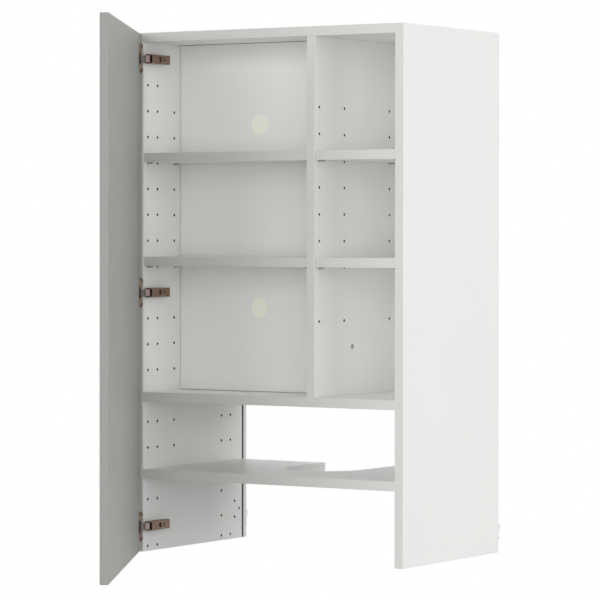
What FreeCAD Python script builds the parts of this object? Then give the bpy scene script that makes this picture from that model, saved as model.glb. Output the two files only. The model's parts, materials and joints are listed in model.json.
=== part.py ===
"""Kitchen wall cabinet for a built-in extractor hood, as a parametric document.

Working coordinates, in millimetres: X from the left outer face, Y from the carcass front to the
wall, Z up from the bottom. The finished part has its origin between the two wall hangers' holes.
"""
import FreeCAD, Part
import Sketcher
import math
import os
import re

SIZES = {
    # Carcass
    "width": 600, "height": 1000, "depth": 362, "board": 18,
    "groove_inset": 17, "groove_depth": 8, "back_thickness": 5.4, "back_fit": 0.3, "back_play": 0.5,
    "mid_z": 290.5, "hood_shelf_z": 141.5, "hood_shelf_gap": 5,
    "flue_radius": 80, "flue_y": 218,
    "hood_screw_spread": 200, "hood_screw_y": 137, "hood_screw_hole": 6,
    "divider_x": 390.5, "false_back_y": 126.5, "false_back_thickness": 16, "panel_play": 0.8,
    # Shelves, and the drilled rows that carry them and the hinges
    "shelf_setback": 2, "shelf_play": 0.7, "shelf_rear_play": 8,
    "row_pitch": 50, "hole_diameter": 5, "hole_depth": 11, "divider_web": 2,
    "column_front": 16, "column_step": 32, "column_third_inset": 21.5, "column_rear_inset": 59,
    "foot_row": 10, "foot_fix_z": 60, "foot_fix_spread": 32, "foot_fix_inset": 43, "foot_fix_step": 16,
    "pin_fit": 0.05, "pin_room": 0.5,
    "pin_reach": 11, "pin_stub": 3.8, "pin_collar": 6.4, "pin_collar_long": 2, "pin_seat": 1,
    # Round caps in the false back, and the screw that holds it
    "cap_low_rise": 162.5, "cap_high_drop": 158, "cap_bore": 34, "cap_lip": 2, "cap_flange": 1.6,
    "cap_fit": 0.15, "cap_plug": 9, "cap_wall": 2,
    "fixing_rise": 91.5, "fixing_shank": 5, "fixing_head": 9, "fixing_head_depth": 3, "fixing_grip": 34,
    # Dowels between the boards
    "dowel_diameter": 8, "dowel_length": 30, "dowel_in_side": 11, "dowel_fit": 0.1,
    "dowel_front": 62, "dowel_rear": 240,
    # Wall hangers, and the spacers at the foot of the sides
    "hanger_plate": 2, "hanger_reach": 42, "hanger_run": 46, "hanger_tall": 48, "hanger_gap": 1,
    "hanger_hole": 9, "hanger_hole_in": 25, "back_bolt_hole": 16,
    "hanger_screw": 4, "hanger_screw_head": 8, "hanger_screw_head_tall": 2.4, "hanger_screw_grip": 12,
    "hanger_screw_spread": 28, "hanger_screw_y": 22,
    "spacer_z": 26, "spacer_tall": 27, "spacer_wide": 12, "spacer_out": 11, "spacer_wall": 2.4,
    "spacer_round": 3, "spacer_peg": 7, "spacer_peg_long": 13, "spacer_peg_room": 1, "spacer_fit": 0.1,
    # Door
    "door_reveal": 1.5, "door_thickness": 16, "door_gap": 2, "door_arris": 1, "door_open": 60,
    # Concealed hinges: cup, link, arm and plate
    "cup_edge": 21, "cup_radius": 17.4, "cup_fit": 0.1, "cup_deep": 12.5, "cup_wall": 1,
    "cup_flange": 1, "cup_rim": 1.2, "wing_screw_out": 5.1, "wing_end": 5.5, "wing_wide": 17,
    "wing_rise": 3.6, "wing_rise_start": 11.5, "wing_side_gap": 0.7,
    "wing_screw": 3, "wing_screw_head": 6.4, "wing_screw_head_tall": 1.2, "wing_screw_grip": 11,
    "screw_fit": 0.1, "lug_thick": 2.6, "lug_long": 5.4, "lug_play": 0.4, "lug_down": 2,
    "cup_pivot_wall": 5.4, "cup_pivot_deep": 4.5, "pivot_radius": 1.5, "pivot_fit": 0.06,
    "elbow_in": 8.3, "elbow_deep": 4.6, "link_thick": 3.6, "link_tall": 11.6, "link_wall": 0.94,
    "link_share": 0.26, "shoe_long": 8.5, "shoe_tall": 13.4, "shoe_thick": 5,
    "arm_pivot_out": 11, "arm_pivot_y": 2, "arm_cover": 3, "arm_foot_out": 6, "arm_nose": 2.4,
    "arm_mouth": 6, "arm_tail": 6, "arm_tall": 17.6, "arm_sheet": 1.5,
    "window_back": 20.5, "window_long": 5.4, "window_tall": 3.4, "window_bridge": 2,
    "plate_lead": 9, "plate_tail": 14, "plate_tall": 16, "plate_foot": 4, "plate_fit": 0.3, "rail_start": 6,
    "adjuster_back": 33, "adjuster_screw": 5, "adjuster_fit": 0.2,
    "adjuster_slot": 1.2, "adjuster_slot_deep": 1.5,
}

doc = FreeCAD.newDocument("wall_cabinet")
sheet = doc.addObject("Spreadsheet::Sheet", "Sizes")
for row, (alias, value) in enumerate(SIZES.items(), start=1):
    sheet.set(f"A{row}", alias)
    sheet.set(f"B{row}", str(value))
    sheet.setAlias(f"B{row}", alias)
doc.recompute()

# Levels that several pieces share
GROOVE_Y = "(depth - groove_inset)"
GROOVE_WIDTH = "(back_thickness + 2 * back_fit)"
INNER_WIDTH = "(width - 2 * board)"
RIGHT_INNER = "(width - board)"
TOP_UNDER = "(height - board)"
MID_TOP = "(mid_z + board)"
DIVIDER_RIGHT = "(divider_x + board)"
HANGER_LEVEL = f"({TOP_UNDER} - hanger_gap - hanger_tall / 2)"
ORIGIN = ("width / 2", GROOVE_Y, HANGER_LEVEL)

ALIAS = re.compile(r"[a-z]+(?:_[a-z]+)*")
NODES = []


def formula(text):
    """An expression in the sheet's aliases, ready for setExpression."""
    return ALIAS.sub(lambda found: "Sizes." + found[0] if found[0] in SIZES else found[0], text)


def bind(piece, **properties):
    for name, text in properties.items():
        piece.setExpression(name, formula(text))
    return piece


def place(piece, x, y, z, turn=None):
    """Puts a piece at a point of its parent's coordinates, turned about Z where an angle is given."""
    for axis, text in zip("xyz", (x, y, z)):
        piece.setExpression("Placement.Base." + axis, formula(text))
    if turn is not None:
        piece.setExpression("Placement.Rotation.Angle", formula(turn))
    return piece


def at_origin(x, y, z):
    """A point in working coordinates, counted from the finished part's origin."""
    return tuple(f"({point}) - ({zero})" for point, zero in zip((x, y, z), ORIGIN))


def node(piece, label):
    """Names a finished sub-part."""
    piece.Label = label
    NODES.append(piece)


def box(corner, size):
    piece = bind(doc.addObject("Part::Box", "Block"), Length=size[0], Width=size[1], Height=size[2])
    return place(piece, *corner)


def board(corner, size):
    """A box whose corner is in working coordinates."""
    return box(at_origin(*corner), size)


# Small rounds that repeat, and the hinge cups, have few sides to keep the model light
DOWEL_SIDES = 6
HOLE_SIDES = 8
PIN_SIDES = 12
CUP_SIDES = 20
AXIS_TURNS = {
    "x": FreeCAD.Rotation(FreeCAD.Vector(0, 1, 0), 90),
    "y": FreeCAD.Rotation(FreeCAD.Vector(1, 0, 0), -90),
    "z": FreeCAD.Rotation(),
}


def rod(start, radius, length, axis, sides=None):
    """A cylinder, or a prism of few sides, that runs from its start along an axis."""
    if sides is None:
        piece = bind(doc.addObject("Part::Cylinder", "Rod"), Radius=radius, Height=length)
    else:
        piece = bind(doc.addObject("Part::Prism", "Rod"), Circumradius=radius, Height=length)
        piece.Polygon = sides
    piece.Placement.Rotation = AXIS_TURNS[axis]
    return place(piece, *start)


def drill(x, y, z, depth="hole_depth", diameter="hole_diameter", sides=HOLE_SIDES):
    """A hole along X whose lower end is at the point."""
    return rod(at_origin(x, y, z), f"({diameter}) / 2", depth, "x", sides)


def group(pieces):
    piece = doc.addObject("Part::Compound", "Group")
    piece.Links = pieces
    return piece


def cut(base, tools):
    piece = doc.addObject("Part::Cut", "Cut")
    piece.Base = base
    piece.Tool = group(tools)
    return piece


def fuse(pieces):
    piece = doc.addObject("Part::MultiFuse", "Joined")
    piece.Shapes = pieces
    return piece


def overlap(pieces):
    piece = doc.addObject("Part::MultiCommon", "Overlap")
    piece.Shapes = pieces
    return piece


# Rows of drilled holes, counted from the bottom in the pitch. The hinges use the first, the last and the
# middle row, and the shelves lie a set number of rows above the middle one.
def row_below(level):
    return int(level // SIZES["row_pitch"])


def rows_between(low, high):
    return list(range(row_below(low) + 1, row_below(high) + 1))


BOTTOM_ROW = 1
TOP_ROW = row_below(SIZES["height"] - SIZES["board"] - SIZES["arm_tall"])
MIDDLE_ROW = (BOTTOM_ROW + TOP_ROW) // 2
UPPER_ROWS = rows_between(SIZES["mid_z"] + SIZES["board"], SIZES["row_pitch"] * (TOP_ROW - 2))
UPPER_ROWS.remove(MIDDLE_ROW)
DIVIDER_ROWS = UPPER_ROWS[2:]
HOOD_ROWS = rows_between(SIZES["hood_shelf_z"] + SIZES["board"], SIZES["mid_z"])
FOOT_ROWS = rows_between(SIZES["row_pitch"], SIZES["hood_shelf_z"])
SHELF_ROWS = {"lower": MIDDLE_ROW + 1, "upper": MIDDLE_ROW + 5}

COLUMN_SECOND = "(column_front + column_step)"
COLUMN_THIRD = "(false_back_y - column_third_inset)"
COLUMN_LAST = "(depth - column_rear_inset)"
COLUMN_REAR = f"({COLUMN_LAST} - column_step)"
HINGE_COLUMNS = ["column_front", COLUMN_SECOND]
FRONT_COLUMNS = HINGE_COLUMNS + [COLUMN_THIRD]
REAR_COLUMNS = [COLUMN_REAR, COLUMN_LAST]
DIVIDER_DEPTH = "((board - divider_web) / 2)"


def row_level(row):
    return f"({row} * row_pitch)"


def drilled(face_x, columns, levels, depth="hole_depth"):
    """Holes at each level of each column. face_x is their lower end."""
    return [drill(face_x, column, level, depth) for column in columns for level in levels]


def drilled_rows(face_x, columns, rows, depth="hole_depth"):
    return drilled(face_x, columns, [row_level(row) for row in rows], depth)


# Dowels: each is one rod, with a hole for it in both boards
dowels = []
dowel_holes = {}


def dowel(start, axis, *boards):
    radius = "dowel_diameter / 2"
    dowels.append(rod(at_origin(*start), radius, "dowel_length", axis, DOWEL_SIDES))
    for name in boards:
        hole = rod(at_origin(*start), f"{radius} + dowel_fit", "dowel_length", axis, DOWEL_SIDES)
        dowel_holes.setdefault(name, []).append(hole)


for name, level in {"top_panel": TOP_UNDER, "mid_panel": "mid_z", "hood_shelf": "hood_shelf_z"}.items():
    for column in ("dowel_front", "dowel_rear"):
        middle = f"{level} + board / 2"
        dowel(("board - dowel_in_side", column, middle), "x", "left_side", name)
        dowel((f"{RIGHT_INNER} + dowel_in_side - dowel_length", column, middle), "x", "right_side", name)
for column in ("dowel_front", "dowel_rear"):
    middle = "divider_x + board / 2"
    dowel((middle, column, f"{MID_TOP} - dowel_in_side"), "z", "mid_panel", "divider")
    dowel((middle, column, f"{TOP_UNDER} + dowel_in_side - dowel_length"), "z", "top_panel", "divider")

# Sides: drilled rows on the inner face, a groove for the back, dowel holes, a hole for the spacer's peg
HANGER_SCREW_Y = f"({GROOVE_Y} - hanger_screw_y)"
HANGER_SCREW_LEVELS = [f"{HANGER_LEVEL} + {way} * hanger_screw_spread / 2" for way in (-1, 1)]
SPACER_MIDDLE = "(spacer_z + spacer_tall / 2)"
FOOT_FIX_Y = "(depth - foot_fix_inset)"


def side(label, outer_x, face_x, groove_x, screw_x):
    """A full-height side. face_x is the lower end of the holes that open on its inner face."""
    holes = drilled_rows(face_x, FRONT_COLUMNS, UPPER_ROWS + HOOD_ROWS)
    holes += drilled_rows(face_x, HINGE_COLUMNS, FOOT_ROWS + [BOTTOM_ROW, MIDDLE_ROW, TOP_ROW - 1, TOP_ROW])
    holes += drilled_rows(face_x, REAR_COLUMNS, HOOD_ROWS)
    holes += drilled_rows(face_x, [COLUMN_REAR], FOOT_ROWS + [BOTTOM_ROW] + list(SHELF_ROWS.values()))
    holes += drilled(face_x, HINGE_COLUMNS + REAR_COLUMNS, ["foot_row"])
    holes += drilled(face_x, [FOOT_FIX_Y], [f"foot_fix_z + {way} * foot_fix_spread / 2" for way in (-1, 1)])
    holes += drilled(face_x, [f"{FOOT_FIX_Y} + foot_fix_step"], ["foot_fix_z"])
    holes += [drill(screw_x, HANGER_SCREW_Y, z, "hanger_screw_grip", "hanger_screw")
              for z in HANGER_SCREW_LEVELS]
    groove = board((groove_x, GROOVE_Y, "0"), ("groove_depth", GROOVE_WIDTH, "height"))
    peg_long = "(spacer_peg_long + spacer_peg_room)"
    peg = rod(at_origin(f"{outer_x} + board / 2", f"depth - {peg_long}", SPACER_MIDDLE),
              "spacer_peg / 2 + spacer_fit", peg_long, "y", PIN_SIDES)
    panel = board((outer_x, "0", "0"), ("board", "depth", "height"))
    node(cut(panel, holes + dowel_holes[label] + [groove, peg]), label)


side("left_side", "0", "board - hole_depth", "board - groove_depth", "board - hanger_screw_grip")
side("right_side", RIGHT_INNER, RIGHT_INNER, RIGHT_INNER, RIGHT_INNER)

for name, level in (("top_panel", TOP_UNDER), ("mid_panel", "mid_z")):
    panel = board(("board", "0", level), (INNER_WIDTH, GROOVE_Y, "board"))
    node(cut(panel, dowel_holes[name]), name)

# Hood shelf: a notch for the flue, round in front and open to the wall, and two screw holes for the hood
HOOD_DEPTH = f"({GROOVE_Y} - hood_shelf_gap)"
flue_round = rod(at_origin("width / 2", "flue_y", "hood_shelf_z"), "flue_radius", "board", "z")
flue_slot = board(("width / 2 - flue_radius", "flue_y", "hood_shelf_z"),
                  ("2 * flue_radius", f"{HOOD_DEPTH} - flue_y", "board"))
hood_screws = [rod(at_origin(f"width / 2 + {way} * hood_screw_spread / 2", "hood_screw_y", "hood_shelf_z"),
                   "hood_screw_hole / 2", "board", "z") for way in (-1, 1)]
shelf = board(("board", "0", "hood_shelf_z"), (INNER_WIDTH, HOOD_DEPTH, "board"))
notch = fuse([flue_round, flue_slot])
node(cut(shelf, [notch] + hood_screws + dowel_holes["hood_shelf"]), "hood_shelf")

# Divider, drilled on both faces, with the through hole of the screw that holds the false back
FALSE_BACK_MIDDLE = "(false_back_y + false_back_thickness / 2)"
FIXING_Z = f"({MID_TOP} + fixing_rise)"
FIXING_HEAD_X = f"({DIVIDER_RIGHT} - fixing_head_depth)"
FIXING_CLEAR = "fixing_shank + 2 * screw_fit"
DIVIDER_COLUMNS = ["column_front", COLUMN_THIRD]
divider_holes = drilled_rows("divider_x", DIVIDER_COLUMNS, DIVIDER_ROWS, DIVIDER_DEPTH)
divider_holes += drilled_rows(f"{DIVIDER_RIGHT} - {DIVIDER_DEPTH}", DIVIDER_COLUMNS + [COLUMN_REAR],
                              DIVIDER_ROWS, DIVIDER_DEPTH)
divider_holes.append(drill("divider_x", FALSE_BACK_MIDDLE, FIXING_Z, "board", FIXING_CLEAR))
divider_holes.append(drill(FIXING_HEAD_X, FALSE_BACK_MIDDLE, FIXING_Z, "fixing_head_depth",
                           "fixing_head + 2 * screw_fit", PIN_SIDES))
upright = board(("divider_x", "0", MID_TOP), ("board", GROOVE_Y, f"{TOP_UNDER} - {MID_TOP}"))
node(cut(upright, divider_holes + dowel_holes["divider"]), "divider")

node(group(dowels), "carcass_dowels")

# False back of the shallow left bay, with two round cable holes and their caps
CAP_X = "((board + divider_x) / 2)"
CAP_LEVELS = (f"{MID_TOP} + cap_low_rise", f"{TOP_UNDER} - cap_high_drop")
FIXING_START = f"({DIVIDER_RIGHT} - fixing_grip)"
panel = board(("board + panel_play", "false_back_y", f"{MID_TOP} + panel_play"),
              ("divider_x - board - 2 * panel_play", "false_back_thickness",
               f"{TOP_UNDER} - {MID_TOP} - 2 * panel_play"))
cable_holes = [rod(at_origin(CAP_X, "false_back_y", level), "cap_bore / 2", "false_back_thickness", "y",
                   CUP_SIDES) for level in CAP_LEVELS]
fixing_hole = drill(FIXING_START, FALSE_BACK_MIDDLE, FIXING_Z, "fixing_grip", FIXING_CLEAR)
node(cut(panel, cable_holes + [fixing_hole]), "false_back")


def cap(level):
    """A flanged plastic cap with a hollow plug."""
    start = at_origin(CAP_X, "false_back_y", level)
    front = at_origin(CAP_X, "false_back_y - cap_flange", level)
    flange = rod(front, "cap_bore / 2 + cap_lip", "cap_flange", "y", CUP_SIDES)
    plug = rod(start, "cap_bore / 2 - cap_fit", "cap_plug", "y", CUP_SIDES)
    hollow = rod(start, "cap_bore / 2 - cap_fit - cap_wall", "cap_plug", "y", CUP_SIDES)
    return cut(fuse([flange, plug]), [hollow])


node(group([cap(level) for level in CAP_LEVELS]), "false_back_caps")

fixing_shank = rod(at_origin(FIXING_START, FALSE_BACK_MIDDLE, FIXING_Z),
                   "fixing_shank / 2", "fixing_grip", "x", HOLE_SIDES)
fixing_head = rod(at_origin(FIXING_HEAD_X, FALSE_BACK_MIDDLE, FIXING_Z),
                  "fixing_head / 2", "fixing_head_depth", "x", PIN_SIDES)
node(fuse([fixing_shank, fixing_head]), "false_back_screw")

# Thin back panel, slid into the sides' grooves, with a hole for each hanger's bolt
HANGER_HOLES = ("board + hanger_hole_in", f"{RIGHT_INNER} - hanger_hole_in")
BACK_X = "(board - groove_depth + back_play)"
back = board((BACK_X, f"{GROOVE_Y} + back_fit", "mid_z"),
             (f"width - 2 * {BACK_X}", "back_thickness", "height - mid_z"))
bolt_holes = [rod(at_origin(x, GROOVE_Y, HANGER_LEVEL), "back_bolt_hole / 2", GROOVE_WIDTH, "y", CUP_SIDES)
              for x in HANGER_HOLES]
node(cut(back, bolt_holes), "back_panel")

# Loose shelves on pins: two shallow ones before the false back, two deep ones right of the divider
LEFT_BAY = ("board", "divider_x", "false_back_y - cap_flange - shelf_play")
RIGHT_BAY = (DIVIDER_RIGHT, RIGHT_INNER, f"{GROOVE_Y} - shelf_rear_play")
PIN_DEPTH = "(hole_depth - pin_room)"
DIVIDER_PIN_DEPTH = f"({DIVIDER_DEPTH} - pin_room)"
PIN_RADIUS = "hole_diameter / 2 - pin_fit"


def shelf_pin(face_x, inward, column, level, depth):
    """A pin with a shank in the board, and a collar and a stub that are flat under the shelf.

    inward is 1 where the bay lies to the right of the face, and -1 where it lies to the left.
    """
    def along(radius, start, length):
        """A round part of the pin that begins a way out of the face and runs into the bay."""
        low = start if inward > 0 else f"(0 - ({start}) - ({length}))"
        return rod(at_origin(f"{face_x} + {low}", column, level), radius, length, "x", HOLE_SIDES)

    shank = along(PIN_RADIUS, f"(0 - {depth})", depth)
    collar = along("pin_collar / 2", "0", "pin_collar_long")
    stub = along("pin_stub / 2", "0", "pin_reach")
    flat_x = face_x if inward > 0 else f"{face_x} - pin_reach"
    flat = board((flat_x, f"{column} - pin_collar / 2", f"{level} + pin_seat"),
                 ("pin_reach", "pin_collar", "pin_collar / 2"))
    return fuse([shank, cut(fuse([collar, stub]), [flat])])


def shelf_pins(bay, columns, level, left_depth, right_depth):
    """The four pins of one shelf."""
    ends = ((bay[0], 1, left_depth), (bay[1], -1, right_depth))
    return [shelf_pin(face_x, inward, column, level, depth)
            for column in columns for face_x, inward, depth in ends]


pins = []
for where, row in SHELF_ROWS.items():
    level = row_level(row)
    for side_name, bay in (("left", LEFT_BAY), ("right", RIGHT_BAY)):
        plank = board((f"{bay[0]} + shelf_play", "shelf_setback", f"{level} + pin_seat"),
                      (f"{bay[1]} - {bay[0]} - 2 * shelf_play", f"{bay[2]} - shelf_setback", "board"))
        node(plank, f"{side_name}_shelf_{where}")
    pins += shelf_pins(LEFT_BAY, ("column_front", COLUMN_THIRD), level, PIN_DEPTH, DIVIDER_PIN_DEPTH)
    pins += shelf_pins(RIGHT_BAY, ("column_front", COLUMN_REAR), level, DIVIDER_PIN_DEPTH, PIN_DEPTH)
node(group(pins), "shelf_pins")


# Wall hangers: steel angles in the top rear corners, each with a bolt hole and two screws into the side
def hanger(label, wall_x, side_x, hole_x):
    low = f"{HANGER_LEVEL} - hanger_tall / 2"
    wall_y = f"({GROOVE_Y} - hanger_plate)"
    wall_leg = board((wall_x, wall_y, low), ("hanger_reach", "hanger_plate", "hanger_tall"))
    side_leg = board((side_x, f"{GROOVE_Y} - hanger_run", low), ("hanger_plate", "hanger_run", "hanger_tall"))
    holes = [rod(at_origin(hole_x, wall_y, HANGER_LEVEL), "hanger_hole / 2", "hanger_plate", "y")]
    holes += [drill(side_x, HANGER_SCREW_Y, z, "hanger_plate", "hanger_screw + 2 * screw_fit")
              for z in HANGER_SCREW_LEVELS]
    node(cut(fuse([wall_leg, side_leg]), holes), label)


def hanger_screw(shank_x, head_x, z):
    shank = rod(at_origin(shank_x, HANGER_SCREW_Y, z), "hanger_screw / 2 - pin_fit",
                "hanger_screw_grip + hanger_plate", "x", HOLE_SIDES)
    head = rod(at_origin(head_x, HANGER_SCREW_Y, z), "hanger_screw_head / 2", "hanger_screw_head_tall", "x",
               PIN_SIDES)
    return fuse([shank, head])


RIGHT_LEG = f"({RIGHT_INNER} - hanger_plate)"
SCREW_ENDS = (("board - hanger_screw_grip", "board + hanger_plate"),
              (RIGHT_LEG, f"{RIGHT_LEG} - hanger_screw_head_tall"))
hanger("left_hanger", "board", "board", HANGER_HOLES[0])
hanger("right_hanger", f"{RIGHT_INNER} - hanger_reach", RIGHT_LEG, HANGER_HOLES[1])
node(group([hanger_screw(*ends, z) for ends in SCREW_ENDS for z in HANGER_SCREW_LEVELS]), "hanger_screws")


def wall_spacer(label, outer_x):
    """A hollow plastic block behind a side, rounded towards the wall, held by a peg in the side's edge."""
    middle_x = f"({outer_x} + board / 2)"
    low_x = f"{middle_x} - spacer_wide / 2"
    square = board((low_x, "depth", "spacer_z"), ("spacer_wide", "spacer_out - spacer_round", "spacer_tall"))
    heel = board((low_x, "depth", "spacer_z + spacer_round"),
                 ("spacer_wide", "spacer_out", "spacer_tall - 2 * spacer_round"))
    rounds = [rod(at_origin(low_x, "depth + spacer_out - spacer_round", level),
                  "spacer_round", "spacer_wide", "x", PIN_SIDES)
              for level in ("spacer_z + spacer_round", "spacer_z + spacer_tall - spacer_round")]
    hollow = board((low_x, "depth + spacer_wall", "spacer_z + spacer_wall"),
                   ("spacer_wide", "spacer_out - 2 * spacer_wall", "spacer_tall - 2 * spacer_wall"))
    peg = rod(at_origin(middle_x, "depth - spacer_peg_long", SPACER_MIDDLE),
              "spacer_peg / 2", "spacer_peg_long", "y", PIN_SIDES)
    node(fuse([cut(fuse([square, heel] + rounds), [hollow]), peg]), label)


wall_spacer("left_wall_spacer", "0")
wall_spacer("right_wall_spacer", RIGHT_INNER)

# Concealed hinges. The arm and its plate stay on the left side, a bent link turns on the arm's pin, and
# the cup in the door turns on the link's other pin. Links and door are drawn closed, then turned open.
HINGES = {"bottom": row_level(BOTTOM_ROW), "middle": row_level(MIDDLE_ROW), "top": row_level(TOP_ROW)}
DOOR_WIDTH = "(width - 2 * door_reveal)"
DOOR_HEIGHT = "(height - 2 * door_reveal)"
ARM_PIN = ("(board + arm_pivot_out)", "arm_pivot_y")
CUP_PIVOT_IN = "(cup_edge - cup_radius + cup_pivot_wall)"
# From the arm's pin to the cup's pin and to the link's elbow, with the door closed
REACH_X = f"(door_reveal + {CUP_PIVOT_IN} - {ARM_PIN[0]})"
REACH_Y = "(0 - door_gap - cup_pivot_deep - arm_pivot_y)"
ELBOW = (f"({REACH_X} + elbow_in)", f"({REACH_Y} - elbow_deep)")
LINK_TURN = "(door_open * link_share)"
DOOR_TURN = "0 - door_open"
CUP_PIN = (f"{ARM_PIN[0]} + {REACH_X} * cos({LINK_TURN}) - {REACH_Y} * sin({LINK_TURN})",
           f"{ARM_PIN[1]} + {REACH_X} * sin({LINK_TURN}) + {REACH_Y} * cos({LINK_TURN})")
# A hole of few sides that clears a pin of few sides at every turn
RUNNING_RADIUS = f"(pivot_radius + pivot_fit) / cos(180 / {PIN_SIDES})"

FOOT_TOP = "(board + plate_foot)"
WEB_X = f"({ARM_PIN[0]} + arm_cover)"
WEB_OUTER = f"({WEB_X} + arm_sheet)"
PLATE_FRONT = "(column_front - plate_lead)"
PLATE_REAR = f"({COLUMN_SECOND} + plate_tail)"
ADJUSTER_Y = "(column_front + adjuster_back)"
WINDOW_Y = "(column_front + window_back - window_long / 2)"
WINDOW_REACH = "(window_tall + window_bridge / 2)"


def hang_on(piece, pin, turn):
    """Turns a piece, drawn about a pin of the closed hinge, to its place at rest."""
    return place(piece, *at_origin(*pin, "0"), turn)


def plate(which, level):
    """Mounting plate: a foot on the side, a rail in the arm, and two pegs in the side's holes."""
    length = f"({PLATE_REAR} - {PLATE_FRONT})"
    foot = board(("board", PLATE_FRONT, f"{level} - plate_tall / 2"), ("plate_foot", length, "plate_tall"))
    rail_tall = "(arm_tall - 2 * arm_sheet - 2 * plate_fit)"
    rail_out = f"({WEB_X} - plate_fit - {FOOT_TOP})"
    rail = board((FOOT_TOP, f"{PLATE_FRONT} + rail_start", f"{level} - {rail_tall} / 2"),
                 (rail_out, f"{length} - rail_start", rail_tall))
    pegs = [rod(at_origin(f"board - {PIN_DEPTH}", column, level), PIN_RADIUS, PIN_DEPTH, "x", HOLE_SIDES)
            for column in HINGE_COLUMNS]
    well = drill(FOOT_TOP, ADJUSTER_Y, level, rail_out, "adjuster_screw + 2 * screw_fit", PIN_SIDES)
    catch = board((FOOT_TOP, WINDOW_Y, f"{level} - {WINDOW_REACH}"),
                  (rail_out, "window_long", f"2 * {WINDOW_REACH}"))
    node(cut(fuse([foot, rail] + pegs), [well, catch]), f"{which}_hinge_plate")


def adjuster(level):
    """The slotted screw between a plate's foot and the arm's web."""
    screw = rod(at_origin(FOOT_TOP, ADJUSTER_Y, level),
                "adjuster_screw / 2", f"{WEB_OUTER} - {FOOT_TOP}", "x", PIN_SIDES)
    slot = board((f"{WEB_OUTER} - adjuster_slot_deep", f"{ADJUSTER_Y} - adjuster_slot / 2",
                  f"{level} - adjuster_screw / 2"), ("adjuster_slot_deep", "adjuster_slot", "adjuster_screw"))
    return cut(screw, [slot])


def arm(which, level):
    """Arm: a folded channel over the plate's rail, open to the side, with its pin's holes at the nose.

    Its web has a hole for the adjusting screw, and two windows over the plate's catch.
    """
    low = f"{level} - arm_tall / 2"
    foot_x = "(board + arm_foot_out)"
    nose = "(arm_pivot_y - arm_nose)"
    length = f"({PLATE_REAR} + arm_tail - {nose})"
    inner_tall = "arm_tall - 2 * arm_sheet"
    outer = board((foot_x, nose, low), (f"{WEB_OUTER} - {foot_x}", length, "arm_tall"))
    channel = board((foot_x, nose, f"{low} + arm_sheet"),
                    (f"{WEB_X} - {foot_x}", f"{length} - arm_sheet", inner_tall))
    mouth = board((WEB_X, nose, f"{low} + arm_sheet"), ("arm_sheet", "arm_nose + arm_mouth", inner_tall))
    pin_hole = rod(at_origin(*ARM_PIN, low), "pivot_radius + pin_fit", "arm_tall", "z", PIN_SIDES)
    screw_hole = drill(WEB_X, ADJUSTER_Y, level, "arm_sheet", "adjuster_screw + 2 * adjuster_fit", PIN_SIDES)
    windows = [board((WEB_X, WINDOW_Y, f"{level} + {start}"), ("arm_sheet", "window_long", "window_tall"))
               for start in ("window_bridge / 2", f"(0 - {WINDOW_REACH})")]
    node(cut(outer, [channel, mouth, pin_hole, screw_hole] + windows), f"{which}_hinge_arm")


def bar(start, finish, thick, low, tall):
    """A flat bar that stands on edge between two points."""
    run = (f"(({finish[0]}) - ({start[0]}))", f"(({finish[1]}) - ({start[1]}))")
    angle = f"atan2({run[1]}; {run[0]})"
    length = f"sqrt({run[0]}^2 + {run[1]}^2)"
    piece = bind(doc.addObject("Part::Box", "Bar"), Length=length, Width=thick, Height=tall)
    corner = (f"{start[0]} + sin({angle}) * {thick} / 2", f"{start[1]} - cos({angle}) * {thick} / 2", low)
    return place(piece, *corner, angle)


def link(which, level):
    """Bent link with a taller shoe at the arm's end, drawn about the arm's pin."""
    low = f"{level} - link_tall / 2"
    shoe_low = f"{level} - shoe_tall / 2"
    here, far = ("0", "0"), (REACH_X, REACH_Y)
    boss = "pivot_radius + pivot_fit + link_wall"
    part_way = f"shoe_long / sqrt({ELBOW[0]}^2 + {ELBOW[1]}^2)"
    shoe_end = tuple(f"({along} * {part_way})" for along in ELBOW)
    solids = [bar(point, ELBOW, "link_thick", low, "link_tall") for point in (here, far)]
    solids.append(bar(here, shoe_end, "shoe_thick", shoe_low, "shoe_tall"))
    solids.append(rod((*ELBOW, low), "link_thick / 2", "link_tall", "z", PIN_SIDES))
    solids.append(rod((*here, shoe_low), boss, "shoe_tall", "z", PIN_SIDES))
    solids.append(rod((*far, low), boss, "link_tall", "z", PIN_SIDES))
    holes = [rod((*point, shoe_low), RUNNING_RADIUS, "shoe_tall", "z", PIN_SIDES) for point in (here, far)]
    node(hang_on(cut(fuse(solids), holes), ARM_PIN, LINK_TURN), f"{which}_hinge_link")


# Door pieces are drawn about the cup's pin: X along the door, Y out of its inner face
CUP_X = "(cup_radius - cup_pivot_wall)"
CUP_LOW = "(cup_pivot_deep - cup_deep)"
LUG_LOW = "(link_tall / 2 + lug_play)"
PIN_HALF = f"({LUG_LOW} + lug_thick)"
WING_SCREW_Z = "(cup_radius + wing_screw_out)"
WING_STRAIGHT = f"({WING_SCREW_Z} + wing_end - wing_wide / 2)"
WING_TALL = "(cup_flange + wing_rise)"
# The wings rise only where they clear the left side's inner face with the door closed
WING_RISE_X = f"(board + wing_side_gap - door_reveal - {CUP_PIVOT_IN})"


def pot(level):
    return rod((CUP_X, CUP_LOW, level), "cup_radius", "cup_deep", "y", CUP_SIDES)


def wings(level, tall):
    """The flange's outline across both screws, with round ends, of a given height above the door."""
    middle = box((f"{CUP_X} - wing_wide / 2", "cup_pivot_deep", f"{level} - {WING_STRAIGHT}"),
                 ("wing_wide", tall, f"2 * {WING_STRAIGHT}"))
    ends = [rod((CUP_X, "cup_pivot_deep", f"{level} + {way} * {WING_STRAIGHT}"), "wing_wide / 2", tall, "y",
                PIN_SIDES) for way in (-1, 1)]
    return [middle] + ends


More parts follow.
